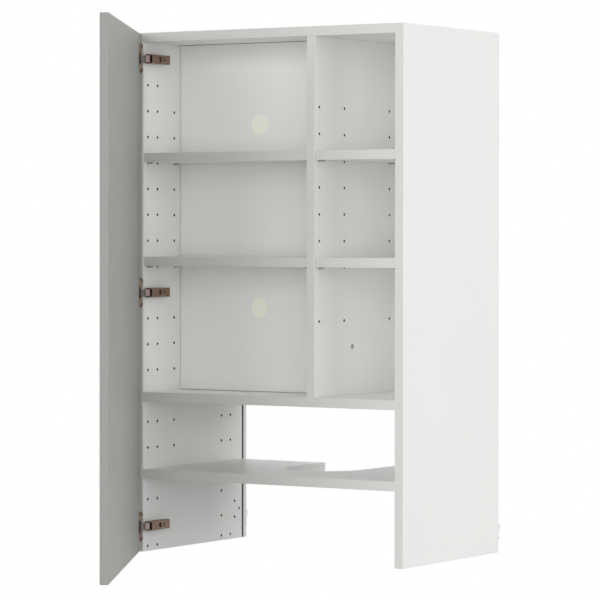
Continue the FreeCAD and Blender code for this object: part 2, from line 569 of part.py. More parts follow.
def cup(which, level):
    """Cup with a flange, a raised wing at each screw, and the two lugs that hold the link's pin."""
    rim = rod((CUP_X, "cup_pivot_deep", level), "cup_radius + cup_rim", "cup_flange", "y", CUP_SIDES)
    rise_long = f"({WING_SCREW_Z} + wing_end - wing_rise_start)"
    rises = [box((WING_RISE_X, "cup_pivot_deep", f"{level} + {start}"), ("wing_wide", WING_TALL, rise_long))
             for start in ("wing_rise_start", f"(0 - wing_rise_start - {rise_long})")]
    raised = overlap([fuse(wings(level, WING_TALL)), group(rises)])
    hollow = rod((CUP_X, f"{CUP_LOW} + cup_wall", level), "cup_radius - cup_wall",
                 "cup_deep - cup_wall + cup_flange", "y", CUP_SIDES)
    screws = [rod((CUP_X, "cup_pivot_deep", f"{level} + {way} * {WING_SCREW_Z}"),
                  "wing_screw / 2 + screw_fit", WING_TALL, "y", HOLE_SIDES) for way in (-1, 1)]
    shell = cut(fuse([pot(level), rim, raised] + wings(level, "cup_flange")), [hollow] + screws)
    lugs = [box(("0 - lug_long / 2", CUP_LOW, f"{level} + {start}"),
                ("lug_long", f"cup_pivot_deep - lug_down - {CUP_LOW}", "lug_thick"))
            for start in (LUG_LOW, f"(0 - {PIN_HALF})")]
    lugs_inside = overlap([pot(level), group(lugs)])
    pin_hole = rod(("0", "0", f"{level} - {PIN_HALF}"), "pivot_radius + pin_fit", f"2 * {PIN_HALF}", "z",
                   PIN_SIDES)
    node(hang_on(cut(fuse([shell, lugs_inside]), [pin_hole]), CUP_PIN, DOOR_TURN), f"{which}_hinge_cup")


for which, level in HINGES.items():
    plate(which, level)
    arm(which, level)
    link(which, level)
    cup(which, level)
node(group([adjuster(level) for level in HINGES.values()]), "hinge_adjusters")

arm_pins = [rod(at_origin(*ARM_PIN, f"{level} - arm_tall / 2"), "pivot_radius", "arm_tall", "z", PIN_SIDES)
            for level in HINGES.values()]
node(group(arm_pins), "hinge_arm_pins")
cup_pins = [rod(("0", "0", f"{level} - {PIN_HALF}"), "pivot_radius", f"2 * {PIN_HALF}", "z", PIN_SIDES)
            for level in HINGES.values()]
node(hang_on(group(cup_pins), CUP_PIN, DOOR_TURN), "hinge_cup_pins")

WING_SCREWS = [f"{level} + {way} * {WING_SCREW_Z}" for level in HINGES.values() for way in (-1, 1)]
WING_SCREW_END = "cup_pivot_deep - wing_screw_grip"


def wing_screw(z):
    shank = rod((CUP_X, WING_SCREW_END, z),
                "wing_screw / 2", f"wing_screw_grip + {WING_TALL}", "y", HOLE_SIDES)
    head = rod((CUP_X, f"cup_pivot_deep + {WING_TALL}", z),
               "wing_screw_head / 2", "wing_screw_head_tall", "y", PIN_SIDES)
    return fuse([shank, head])


node(hang_on(group([wing_screw(z) for z in WING_SCREWS]), CUP_PIN, DOOR_TURN), "cup_screws")


# Slab door: a padded outline with all arrises broken, bored for the cups and their screws
def outline(body, points):
    """A closed outline on the body's XY plane, with each corner tied to the sheet."""
    sketch = body.newObject("Sketcher::SketchObject", "Outline")
    plane = [item for item in body.Origin.OriginFeatures if item.Role == "XY_Plane"][0]
    sketch.AttachmentSupport = [(plane, "")]
    sketch.MapMode = "FlatFace"
    count = len(points)
    angles = [2 * math.pi * number / count for number in range(count)]
    spread = [FreeCAD.Vector(math.cos(angle), math.sin(angle)) for angle in angles]
    for number in range(count):
        sketch.addGeometry(Part.LineSegment(spread[number], spread[(number + 1) % count]), False)
    for number in range(count):
        sketch.addConstraint(Sketcher.Constraint("Coincident", number, 2, (number + 1) % count, 1))
    for corner, (x, y) in enumerate(points):
        for kind, text in (("DistanceX", x), ("DistanceY", y)):
            number = sketch.addConstraint(Sketcher.Constraint(kind, -1, 1, corner, 1, 1.0))
            sketch.setExpression(f"Constraints[{number}]", formula(text))
    return sketch


left, right = f"0 - {CUP_PIVOT_IN}", f"{DOOR_WIDTH} - {CUP_PIVOT_IN}"
front, rear = "cup_pivot_deep - door_thickness", "cup_pivot_deep"
door_body = doc.addObject("PartDesign::Body", "DoorBody")
door_pad = door_body.newObject("PartDesign::Pad", "Slab")
door_pad.Profile = outline(door_body, [(left, front), (right, front), (right, rear), (left, rear)])
bind(door_pad, Length=DOOR_HEIGHT)
doc.recompute()
arris = door_body.newObject("PartDesign::Chamfer", "Arrises")
arris.Base = (door_pad, [f"Edge{number + 1}" for number in range(len(door_pad.Shape.Edges))])
bind(arris, Size="door_arris")
place(door_body, "0", "0", "door_reveal")
bores = [rod((CUP_X, f"{CUP_LOW} - cup_fit", level), "cup_radius + cup_fit", "cup_deep + cup_fit", "y",
             CUP_SIDES) for level in HINGES.values()]
bores += [rod((CUP_X, WING_SCREW_END, z), "wing_screw / 2 + screw_fit", "wing_screw_grip", "y", HOLE_SIDES)
          for z in WING_SCREWS]
node(hang_on(cut(door_body, bores), CUP_PIN, DOOR_TURN), "door")

doc.recompute()
for piece in doc.Objects:
    if "Invalid" in piece.State or "Error" in piece.State:
        raise RuntimeError(f"{piece.Label} failed: {piece.State}")
for piece in NODES:
    if piece.Shape.isNull() or not piece.Shape.isValid():
        raise RuntimeError(f"{piece.Label} has no valid shape")

os.makedirs("parts", exist_ok=True)
for piece in NODES:
    piece.Shape.exportStep(f"parts/{piece.Label}.step")
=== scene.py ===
"""Looks of the kitchen wall cabinet: softened edges, finishes, light, floor and the photograph's camera."""

import json
import math
from typing import NamedTuple

import bmesh
import bpy
from mathutils import Matrix, Vector


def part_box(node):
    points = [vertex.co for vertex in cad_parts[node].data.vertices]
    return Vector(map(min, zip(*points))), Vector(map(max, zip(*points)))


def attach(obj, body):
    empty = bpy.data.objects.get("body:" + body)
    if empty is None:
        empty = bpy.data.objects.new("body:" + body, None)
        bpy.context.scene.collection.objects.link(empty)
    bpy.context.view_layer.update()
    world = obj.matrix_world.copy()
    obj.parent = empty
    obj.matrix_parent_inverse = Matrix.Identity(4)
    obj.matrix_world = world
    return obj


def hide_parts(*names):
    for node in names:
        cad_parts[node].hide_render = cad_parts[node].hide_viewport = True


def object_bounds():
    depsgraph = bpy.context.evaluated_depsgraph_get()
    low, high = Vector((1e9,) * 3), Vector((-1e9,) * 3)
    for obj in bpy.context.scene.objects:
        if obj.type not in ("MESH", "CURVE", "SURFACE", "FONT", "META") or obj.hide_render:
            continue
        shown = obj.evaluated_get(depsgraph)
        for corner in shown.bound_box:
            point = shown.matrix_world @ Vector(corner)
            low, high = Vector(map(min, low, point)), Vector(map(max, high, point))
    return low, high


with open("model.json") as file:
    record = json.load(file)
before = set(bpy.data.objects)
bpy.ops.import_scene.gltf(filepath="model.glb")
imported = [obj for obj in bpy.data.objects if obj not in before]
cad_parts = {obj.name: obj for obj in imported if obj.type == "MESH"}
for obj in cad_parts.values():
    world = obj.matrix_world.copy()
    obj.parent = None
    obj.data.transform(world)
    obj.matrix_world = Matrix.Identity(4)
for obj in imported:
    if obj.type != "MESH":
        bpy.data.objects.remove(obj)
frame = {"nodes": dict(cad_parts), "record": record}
CAD_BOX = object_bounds()
NODES = frame["nodes"]
RECORD = frame["record"]
SLOTS = {subpart["node"]: subpart["material_slot"] for subpart in RECORD["subparts"]}
BODIES = {node: body for body, nodes in RECORD["behaviour"]["bodies"].items() for node in nodes}
MM = 0.001

# Directions in the part's frame
ACROSS = Vector((1, 0, 0))
TO_WALL = Vector((0, 1, 0))
UPWARD = Vector((0, 0, 1))
TO_FRONT = -TO_WALL

# The photograph's frame, in pixels, and its camera, in metres and degrees
IMAGE_SIZE = 600
FOCAL_PIXELS = 3170
AXIS_ROW = 273.5
CAMERA_PLACE = Vector((3.251, -5.338, -0.341))
CAMERA_YAW = 32.45
CAMERA_PITCH = -0.74
CAMERA_ROLL = 0.06
CAMERA_REACH = 100
SENSOR_MM = 36

# The door stands open by this angle at rest, its inner face looks this way, and lies this far out
DOOR_OPEN = math.radians(60)
DOOR_INNER = Vector((math.sin(DOOR_OPEN), math.cos(DOOR_OPEN), 0))
DOOR_FACE = max(vertex.co.dot(DOOR_INNER) for vertex in NODES["door"].data.vertices)

# Colours in linear light
MELAMINE = (0.87, 0.87, 0.852, 1)
MELAMINE_SHADE = (0.855, 0.855, 0.837, 1)
# The front edges' banding, darker than the faces: partly the banding's own tone, partly painted shade on the
# front edges
EDGE_BAND_SHADED = (0.79, 0.79, 0.77, 1)
CHIPBOARD = (0.30, 0.27, 0.23, 1)
CHIPBOARD_DARK = (0.22, 0.19, 0.16, 1)
# The holes' walls are painted near black: painted shade, far darker than the chipboard inside them
HOLE_SHADE = (0.020, 0.017, 0.014, 1)
HOLE_SHADE_DEEP = (0.008, 0.007, 0.006, 1)
DOOR_GREEN = (0.335, 0.340, 0.312, 1)
DOOR_GREEN_SHADE = (0.318, 0.323, 0.296, 1)
DOOR_EDGE = (0.325, 0.334, 0.313, 1)
CREAM = (0.98, 0.98, 0.86, 1)
CREAM_SHADE = (0.965, 0.965, 0.84, 1)
CLEAR = (0.91, 0.91, 0.91, 1)
CLEAR_SHADE = (0.88, 0.88, 0.88, 1)
BRONZE = (0.26, 0.175, 0.115, 1)
BRONZE_DARK = (0.18, 0.12, 0.078, 1)
LINK_BRONZE = (0.46, 0.355, 0.31, 1)
LINK_BRONZE_DARK = (0.37, 0.275, 0.235, 1)
# Painted shade on the links' necks
LINK_NECK_SHADE = (0.20, 0.17, 0.155, 1)
# A painted highlight and a painted shadow at the foot of the hinge cups
CUP_PAINTED_HIGHLIGHT = (0.46, 0.37, 0.30, 1)
CUP_PAINTED_SHADOW = (0.10, 0.070, 0.048, 1)
# Painted shade round the arms' web, in its windows and on their front faces
ARM_OUTLINE_SHADE = (0.022, 0.016, 0.012, 1)
# Painted light: the plates' front faces, seen through the arm's mouth
PLATE_PAINTED_LIGHT = (0.09, 0.065, 0.05, 1)
BLACK_STEEL = (0.030, 0.024, 0.020, 1)
# A worn tone of black steel, also used for the painted shadow line on the links
BLACK_STEEL_WEAR_AND_SHADE = (0.055, 0.045, 0.037, 1)
ZINC = (0.52, 0.52, 0.53, 1)
ZINC_DULL = (0.38, 0.38, 0.39, 1)
BEECH = (0.60, 0.42, 0.25, 1)
BEECH_DARK = (0.45, 0.29, 0.16, 1)
FLOOR_PALE = (0.86, 0.86, 0.86, 1)
FLOOR_DIM = (0.30, 0.30, 0.30, 1)
WHITE = (1, 1, 1, 1)


class Texture(NamedTuple):
    """A surface's noises, in waves per metre, its range of roughness, and its relief in metres."""
    tones: float
    gloss: float
    rough: tuple
    grain: float = 0.0
    detail: float = 0.0
    relief: float = 0.0


PEARL = Texture(tones=6.0, gloss=40.0, rough=(0.32, 0.40), grain=1400.0, detail=2.0, relief=0.02 * MM)
HARDBOARD = Texture(tones=8.0, gloss=60.0, rough=(0.45, 0.6), grain=500.0, detail=3.0, relief=0.03 * MM)
FOIL = Texture(tones=9.0, gloss=60.0, rough=(0.50, 0.62), grain=1800.0, detail=2.0, relief=0.025 * MM)
MOULDED = Texture(tones=90.0, gloss=300.0, rough=(0.34, 0.46), grain=900.0, detail=1.0, relief=0.02 * MM)
FROSTED = Texture(tones=90.0, gloss=300.0, rough=(0.05, 0.12))

# A noise lies mostly between these
NOISE_LOW = 0.3
NOISE_HIGH = 0.7
# A surface looks in a direction when its normal reaches this far in it
FACING = 0.7


def feed(tree, socket, value):
    """Links an output to a socket, or sets the socket to a plain value."""
    if isinstance(value, bpy.types.NodeSocket):
        tree.links.new(value, socket)
    else:
        socket.default_value = value


def remapped(tree, value, given, wanted, interpolation="LINEAR"):
    """A number carried over from a given range to a wanted one."""
    node = tree.nodes.new("ShaderNodeMapRange")
    node.interpolation_type = interpolation
    feed(tree, node.inputs["Value"], value)
    for name, end in zip(("From Min", "From Max", "To Min", "To Max"), (*given, *wanted)):
        feed(tree, node.inputs[name], end)
    return node.outputs["Result"]


class Finish:
    """A procedural material: a shader, and the textures that feed it, in metres of the part's frame."""

    def __init__(self, name, metallic=0.0):
        self.material = bpy.data.materials.new(name)
        self.material.use_nodes = True
        self.tree = self.material.node_tree
        self.shader = self.tree.nodes["Principled BSDF"]
        self.shader.inputs["Metallic"].default_value = metallic
        coordinates = self.add("ShaderNodeTexCoord")
        self.place = coordinates.outputs["Object"]
        self.normal = coordinates.outputs["Normal"]

    def add(self, kind, **settings):
        """A new node of a kind, with its settings."""
        node = self.tree.nodes.new(kind)
        for name, value in settings.items():
            setattr(node, name, value)
        return node

    def feed(self, socket, value):
        """Links an output to a socket, or sets the socket to a plain value."""
        feed(self.tree, socket, value)

    def stretched(self, scale):
        """The place, scaled along each axis, for grain that runs one way."""
        mapping = self.add("ShaderNodeMapping")
        mapping.inputs["Scale"].default_value = scale
        self.feed(mapping.inputs["Vector"], self.place)
        return mapping.outputs["Vector"]

    def noise(self, scale, detail=3.0, place=None):
        """A noise of so many waves per metre."""
        texture = self.add("ShaderNodeTexNoise")
        texture.inputs["Scale"].default_value = scale
        texture.inputs["Detail"].default_value = detail
        self.feed(texture.inputs["Vector"], place or self.place)
        return texture.outputs["Fac"]

    def between(self, factor, low, high):
        """A colour between two, by a noise."""
        ramp = self.add("ShaderNodeValToRGB")
        for element, position, colour in zip(ramp.color_ramp.elements, (NOISE_LOW, NOISE_HIGH), (low, high)):
            element.position = position
            element.color = colour
        self.feed(ramp.inputs["Fac"], factor)
        return ramp.outputs["Color"]

    def math(self, operation, first, second=0.0):
        """A number from one or two others."""
        node = self.add("ShaderNodeMath", operation=operation)
        self.feed(node.inputs[0], first)
        self.feed(node.inputs[1], second)
        return node.outputs["Value"]

    def vector(self, operation, first, second):
        """A vector from two others."""
        node = self.add("ShaderNodeVectorMath", operation=operation)
        self.feed(node.inputs[0], first)
        self.feed(node.inputs[1], second)
        return node.outputs["Vector"]

    def length(self, vector):
        """How long a vector is."""
        node = self.add("ShaderNodeVectorMath", operation="LENGTH")
        self.feed(node.inputs[0], vector)
        return node.outputs["Value"]

    def along(self, vector, direction):
        """How far a vector reaches in a direction."""
        node = self.add("ShaderNodeVectorMath", operation="DOT_PRODUCT")
        self.feed(node.inputs[0], vector)
        node.inputs[1].default_value = direction
        return node.outputs["Value"]

    def faces(self, direction):
        """Whether the surface looks in a direction."""
        return self.math("GREATER_THAN", self.along(self.normal, direction), FACING)

    def mix(self, factor, first, second):
        """The first colour where the factor is 0, and the second where it is 1."""
        node = self.add("ShaderNodeMix", data_type="RGBA")
        factor_in, first_in, second_in = (socket for socket in node.inputs
                                          if socket.identifier in ("Factor_Float", "A_Color", "B_Color"))
        self.feed(factor_in, factor)
        self.feed(first_in, first)
        self.feed(second_in, second)
        return next(socket for socket in node.outputs if socket.identifier == "Result_Color")

    def colour(self, source):
        """The shader's colour."""
        self.feed(self.shader.inputs["Base Color"], source)

    def rough(self, factor, limits):
        """The shader's roughness, between two limits by a factor from 0 to 1."""
        self.feed(self.shader.inputs["Roughness"], remapped(self.tree, factor, (0, 1), limits))

    def bump(self, height, depth):
        """Relief of a depth in metres."""
        node = self.add("ShaderNodeBump")
        node.inputs["Strength"].default_value = 1.0
        node.inputs["Distance"].default_value = depth
        self.feed(node.inputs["Height"], height)
        self.feed(self.shader.inputs["Normal"], node.outputs["Normal"])

    def surface(self, texture):
        """A texture's roughness and relief."""
        self.rough(self.noise(texture.gloss), texture.rough)
        if texture.relief:
            self.bump(self.noise(texture.grain, texture.detail), texture.relief)


# Boards: how deep the melamine reaches, the front edge's banding with its seam, which shows as this share of
# chipboard, where the back's groove starts, and the chips' waves per metre
SKIN = 0.2 * MM
BAND_THICK = 1.0 * MM
SEAM_WIDE = 0.12 * MM
SEAM_SHARE = 0.12
GROOVE_MARGIN = 1.0 * MM
GROOVE_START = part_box("back_panel")[0].y - GROOVE_MARGIN
CHIPS = 900.0
CHIPS_DETAIL = 4.0


def depth_inside(finish, low, high):
    """How far a surface lies inside a box, in metres, along the nearest axis."""
    axes = finish.add("ShaderNodeSeparateXYZ")
    finish.feed(axes.inputs["Vector"], finish.place)
    nearest = None
    for axis, least, most in zip(axes.outputs, low, high):
        from_low, from_high = finish.math("SUBTRACT", axis, least), finish.math("SUBTRACT", most, axis)
        near = finish.math("MINIMUM", from_low, from_high)
        nearest = near if nearest is None else finish.math("MINIMUM", nearest, near)
    return nearest


def melamine(node, cut_from=0.0):
    """White melamine with a fine pearl, a banded front edge in a darker tone that is partly its own and
    partly painted shade, holes painted near black as painted shade, and chipboard in the back's groove.

    Cut faces nearer to the part's middle plane than cut_from are white too.
    """
    finish = Finish("melamine_" + node)
    low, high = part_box(node)
    white = finish.between(finish.noise(PEARL.tones), MELAMINE, MELAMINE_SHADE)
    if high.y - low.y > min(high - low):
        # Front-facing faces take the banding's darker tone, part of which is painted shade
        white = finish.mix(finish.faces(TO_FRONT), white, EDGE_BAND_SHADED)
        behind_band = finish.math("SUBTRACT", finish.along(finish.place, TO_WALL), low.y + BAND_THICK)
        seam = finish.math("LESS_THAN", finish.math("ABSOLUTE", behind_band), SEAM_WIDE / 2)
        white = finish.mix(finish.math("MULTIPLY", seam, SEAM_SHARE), white, CHIPBOARD)
    bare = finish.math("GREATER_THAN", depth_inside(finish, low, high), SKIN)
    if cut_from:
        sideways = finish.math("ABSOLUTE", finish.along(finish.place, ACROSS))
        bare = finish.math("MULTIPLY", bare, finish.math("GREATER_THAN", sideways, cut_from))
    chips = finish.noise(CHIPS, CHIPS_DETAIL)
    # Holes get near black, painted shade in place of the chipboard's own tone
    painted_hole_shade = finish.between(chips, HOLE_SHADE, HOLE_SHADE_DEEP)
    grooved = finish.between(chips, CHIPBOARD, CHIPBOARD_DARK)
    in_groove = finish.math("GREATER_THAN", finish.along(finish.place, TO_WALL), GROOVE_START)
    finish.colour(finish.mix(bare, white, finish.mix(in_groove, painted_hole_shade, grooved)))
    finish.surface(PEARL)
    return finish.material


def back_board():
    """Thin white hardboard."""
    finish = Finish("back_board")
    finish.colour(finish.between(finish.noise(HARDBOARD.tones), MELAMINE, MELAMINE_SHADE))
    finish.surface(HARDBOARD)
    return finish.material


# A surface of the door belongs to its edges when its normal reaches less far than this along the thickness
DOOR_EDGE_TURN = 0.5


def door_laminate():
    """Matt grey-green foil with a fine grain, and banding of nearly the same tone round the edges."""
    finish = Finish("door_laminate")
    faced = finish.math("ABSOLUTE", finish.along(finish.normal, DOOR_INNER))
    foil = finish.between(finish.noise(FOIL.tones), DOOR_GREEN, DOOR_GREEN_SHADE)
    finish.colour(finish.mix(finish.math("LESS_THAN", faced, DOOR_EDGE_TURN), foil, DOOR_EDGE))
    finish.surface(FOIL)
    return finish.material


def plastic(name, light, shade):
    """Moulded plastic with a faint orange peel."""
    finish = Finish(name)
    finish.colour(finish.between(finish.noise(MOULDED.tones), light, shade))
    finish.surface(MOULDED)
    return finish.material


CLEAR_IOR = 1.4


def clear_plastic():
    """Clear moulded plastic, faintly frosted."""
    finish = Finish("clear_plastic")
    finish.colour(finish.between(finish.noise(FROSTED.tones), CLEAR, CLEAR_SHADE))
    finish.surface(FROSTED)
    finish.shader.inputs["Transmission Weight"].default_value = 1.0
    finish.shader.inputs["IOR"].default_value = CLEAR_IOR
    return finish.material


# Plated metal: the clouds' waves per metre, and those of the drawn lines along each axis
CLOUDS = 220.0
DRAWN = (2500.0, 120.0, 2500.0)
DRAWN_DETAIL = 4.0
DRAWN_RELIEF = 0.012 * MM
# How metallic it is, and its range of roughness
ZINC_METALLIC = 1.0
HINGE_METALLIC = 0.4
ZINC_ROUGH = (0.3, 0.5)
BRONZE_ROUGH = (0.34, 0.5)
PLATE_ROUGH = (0.45, 0.6)
STEEL_ROUGH = (0.35, 0.55)


def plating(name, light, shade, metallic, rough, painted_tones=None):
    """Plated metal, clouded by handling and drawn along its length.

    The last argument takes the finish and its clouds, and gives the clouds with painted light and shade in
    places.
    """
    finish = Finish(name, metallic)
    clouds = finish.between(finish.noise(CLOUDS), light, shade)
    finish.colour(painted_tones(finish, clouds) if painted_tones else clouds)
    drawn = finish.noise(1.0, DRAWN_DETAIL, finish.stretched(DRAWN))
    finish.rough(drawn, rough)
    finish.bump(drawn, DRAWN_RELIEF)
    return finish.material


# The hinges' arms: the height of their web's outer face, a little more than the web's thickness, and how far
# a normal reaches outwards where the web is flat
ARM_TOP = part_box("top_hinge_arm")[1].x
WEB_SHEET = 2 * MM
WEB_FLAT = 0.8


def painted_outline_shade(finish, clouds):
    """Arms get painted shade, near black, round their web's edges, in its windows and on faces towards the
    front.
    """
    in_web = finish.math("GREATER_THAN", finish.along(finish.place, ACROSS), ARM_TOP - WEB_SHEET)
    turned = finish.math("LESS_THAN", finish.along(finish.normal, ACROSS), WEB_FLAT)
    # Painted shade, near black, on the web's turned edges and on front-facing faces
    outline_shade = finish.math("MAXIMUM", finish.math("MULTIPLY", in_web, turned), finish.faces(TO_FRONT))
    return finish.mix(outline_shade, clouds, ARM_OUTLINE_SHADE)


def painted_mouth_light(finish, clouds):
    """Plates get their front-facing faces painted brown, painted light seen through the arm's mouth."""
    # Front-facing faces painted brown: painted light
    return finish.mix(finish.faces(TO_FRONT), clouds, PLATE_PAINTED_LIGHT)


# How high over the door's face the hinge cups' painted shadow and painted highlight reach
CUP_SHADOW_TALL = 0.9 * MM
CUP_HIGHLIGHT_TALL = 1.7 * MM


def painted_cup_light(finish, clouds):
    """Hinge cups get a painted shadow at the door's face, and a painted highlight above it where the flange's
    edge catches light.
    """
    height = finish.math("SUBTRACT", finish.along(finish.place, DOOR_INNER), DOOR_FACE)
    # A painted highlight above a painted shadow at the door's face
    highlighted = finish.mix(finish.math("LESS_THAN", height, CUP_HIGHLIGHT_TALL), clouds, CUP_PAINTED_HIGHLIGHT)
    return finish.mix(finish.math("LESS_THAN", height, CUP_SHADOW_TALL), highlighted, CUP_PAINTED_SHADOW)


# Where the links' shoe ends and their neck starts, from the arm's pin
SHOE_REACH = 8.6 * MM
NECK_START = 9.6 * MM


def shaded_neck(finish, clouds):
    """Links get painted shade over their neck beyond the shoe, past a painted shadow line."""
    low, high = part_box("hinge_arm_pins")
    from_pin = finish.vector("SUBTRACT", finish.place, (low + high) / 2)
    reach = finish.length(finish.vector("MULTIPLY", from_pin, ACROSS + TO_WALL))
    # A painted shadow line where the shoe ends, and painted shade over the neck beyond it
    shade_lined = finish.mix(finish.math("GREATER_THAN", reach, SHOE_REACH), clouds, BLACK_STEEL_WEAR_AND_SHADE)
    return finish.mix(finish.math("GREATER_THAN", reach, NECK_START), shade_lined, LINK_NECK_SHADE)


# Wood: the grain's waves per metre along each axis, its roughness and its relief
GRAIN = (60.0, 900.0, 900.0)
GRAIN_DETAIL = 6.0
GRAIN_ROUGH = (0.5, 0.7)
GRAIN_RELIEF = 0.05 * MM


def beech():
    """Plain wood with grain along the dowels."""
    finish = Finish("dowel_beech")
    grain = finish.noise(1.0, GRAIN_DETAIL, finish.stretched(GRAIN))
    finish.colour(finish.between(grain, BEECH, BEECH_DARK))
    finish.rough(grain, GRAIN_ROUGH)
    finish.bump(grain, GRAIN_RELIEF)
    return finish.material


# Finishes by slot, or by the kind of a hinge's piece
FINISHES = {
    "back_board": back_board(),
    "door_board": door_laminate(),
    "dowel_wood": beech(),
    "cap_plastic": plastic("cream_plastic", CREAM, CREAM_SHADE),
    "spacer_plastic": clear_plastic(),
    "zinc_steel": plating("zinc_plating", ZINC, ZINC_DULL, ZINC_METALLIC, ZINC_ROUGH),
    "hinge_link_bronze": plating("link_plating", LINK_BRONZE, LINK_BRONZE_DARK, HINGE_METALLIC, BRONZE_ROUGH,
                                 shaded_neck),
    "hinge_arm": plating("arm_plating", BRONZE, BRONZE_DARK, HINGE_METALLIC, BRONZE_ROUGH, painted_outline_shade),
    "hinge_cup": plating("cup_plating", BRONZE, BRONZE_DARK, HINGE_METALLIC, BRONZE_ROUGH, painted_cup_light),
    # Plates are black, which keeps the arm's windows dark as painted shade, with front faces painted brown as
    # painted light
    "hinge_plate": plating("plate_plating", BLACK_STEEL, BLACK_STEEL_WEAR_AND_SHADE, HINGE_METALLIC, PLATE_ROUGH,
                           painted_mouth_light),
    "hinge_dark_steel": plating("black_steel", BLACK_STEEL, BLACK_STEEL_WEAR_AND_SHADE, HINGE_METALLIC, STEEL_ROUGH),
}

# The flue notch in the hood shelf has white edges, as far out as this from the middle
NOTCH_REACH = 85 * MM


def finish_of(node):
    """A white board has its own finish, a hinge's arm, cup or plate its kind's, and the rest their slot's."""
    if SLOTS[node] == "white_board":
        return melamine(node, NOTCH_REACH if node == "hood_shelf" else 0.0)
    kind = node.partition("_")[2]
    return FINISHES[kind if kind in FINISHES else SLOTS[node]]


# Edges: boards are softened along their outer edges, and metal and plastic along every sharp edge
BOARD_ARRIS = 0.5 * MM
METAL_ARRIS = 0.3 * MM
ARRIS_STEPS = 2
ARRIS_PROFILE = 0.5
# Faces that turn less than FLAT are joined, edges that turn more than SHARP are softened, and metal and
# plastic are shaded as one surface where they turn less than ROUND
FLAT = math.radians(1)
SHARP = math.radians(50)
ROUND = math.radians(20)
# Points nearer than this to a face lie on it
ON_FACE = 0.01 * MM
BOARD_SLOTS = ("white_board", "back_board", "door_board")
FRAME_AXES = (ACROSS, TO_WALL, UPWARD)
DOOR_AXES = (DOOR_INNER, Vector((-DOOR_INNER.y, DOOR_INNER.x, 0)), UPWARD)
# Nodes that don't show keep their shape
HIDDEN = ("carcass_dowels",)


def outer_edges(edges, shape, axes):
    """Those edges that lie on two faces at once of the box round a shape, along its own axes."""
    faces = []
    for axis in axes:
        reach = [vertex.co.dot(axis) for vertex in shape.verts]
        faces += [(axis, min(reach)), (axis, max(reach))]
    return [edge for edge in edges
            if sum(all(abs(vertex.co.dot(axis) - face) < ON_FACE for vertex in edge.verts)
                   for axis, face in faces) >= 2]


# The arms' windows lie between the mouth and the adjusting screw, well inside the web. They are shown longer
# and nearer each other than built: their ends and inner edges move by these factors from their middle, and
# edges nearer to it than WINDOW_HALF are inner ones
WINDOW_LONGER = 1.4
WINDOW_INNER = 0.4
WINDOW_HALF = 2.5 * MM
MOUTH_END = 10 * MM
WEB_MARGIN = 3 * MM


def open_windows(shape, low, high):
    """Moves the edges of the two windows in an arm's web about their common middle."""
    screw_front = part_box("hinge_adjusters")[0].y
    corners = [vertex for vertex in shape.verts if vertex.co.x > high.x - WEB_SHEET
               and low.y + MOUTH_END < vertex.co.y < screw_front
               and low.z + WEB_MARGIN < vertex.co.z < high.z - WEB_MARGIN]
    middle = sum((vertex.co for vertex in corners), Vector()) / len(corners)
    for vertex in corners:
        away = vertex.co - middle
        vertex.co.y = middle.y + away.y * WINDOW_LONGER
        if abs(away.z) < WINDOW_HALF:
            vertex.co.z = middle.z + away.z * WINDOW_INNER


# The boards' holes of less than this radius get twice as many sides, and are shown a little wider than built
SMALL_HOLE = 5 * MM
HOLE_WIDER = 1.1
# A wall's normal reaches less far than this along the board's thickness
WALL_TILT = 0.1
# A rim's points lie further out than this share of the radius: the middle of a hexagon's side is at 0.866
RIM_SHARE = 0.85


def connected(faces):
    """Groups of faces that share edges, always in the same order."""
    waiting, groups = dict.fromkeys(faces), []
    while waiting:
        group = [waiting.popitem()[0]]
        for face in group:
            for other in [other for edge in face.edges for other in edge.link_faces]:
                if other in waiting:
                    del waiting[other]
                    group.append(other)
        groups.append(group)
    return groups


def round_holes(shape, low, high):
    """Rounds a board's small holes, which lie inside its outline and run along its thickness."""
    sizes = list(high - low)
    thick = sizes.index(min(sizes))
    plane = [axis for axis in range(3) if axis != thick]

    def off_axis(vertex, centre):
        """The way to a vertex, straight out from a hole's axis."""
        away = vertex.co - centre
        away[thick] = 0
        return away

    def inside(vertex):
        """Whether a vertex lies inside the board's outline."""
        return all(low[axis] + ON_FACE < vertex.co[axis] < high[axis] - ON_FACE for axis in plane)

    def is_wall(face):
        """Whether a face may belong to a hole's wall."""
        return abs(face.normal[thick]) < WALL_TILT and all(map(inside, face.verts))

    holes, rims = [], []
    for walls in connected(filter(is_wall, shape.faces)):
        corners = list(dict.fromkeys(vertex for wall in walls for vertex in wall.verts))
        centre = sum((vertex.co for vertex in corners), Vector()) / len(corners)
        reach = [off_axis(vertex, centre).length for vertex in corners]
        if max(reach) < SMALL_HOLE and max(reach) - min(reach) < ON_FACE:
            holes.append((centre, max(reach)))
            rims += [edge for wall in walls for edge in wall.edges
                     if abs(edge.verts[0].co[thick] - edge.verts[1].co[thick]) < ON_FACE]
    bmesh.ops.subdivide_edges(shape, edges=list(dict.fromkeys(rims)), cuts=1)
    for vertex in shape.verts:
        for centre, radius in holes:
            away = off_axis(vertex, centre)
            if radius * RIM_SHARE < away.length < radius + ON_FACE:
                vertex.co += away * (radius * HOLE_WIDER / away.length - 1)
                break


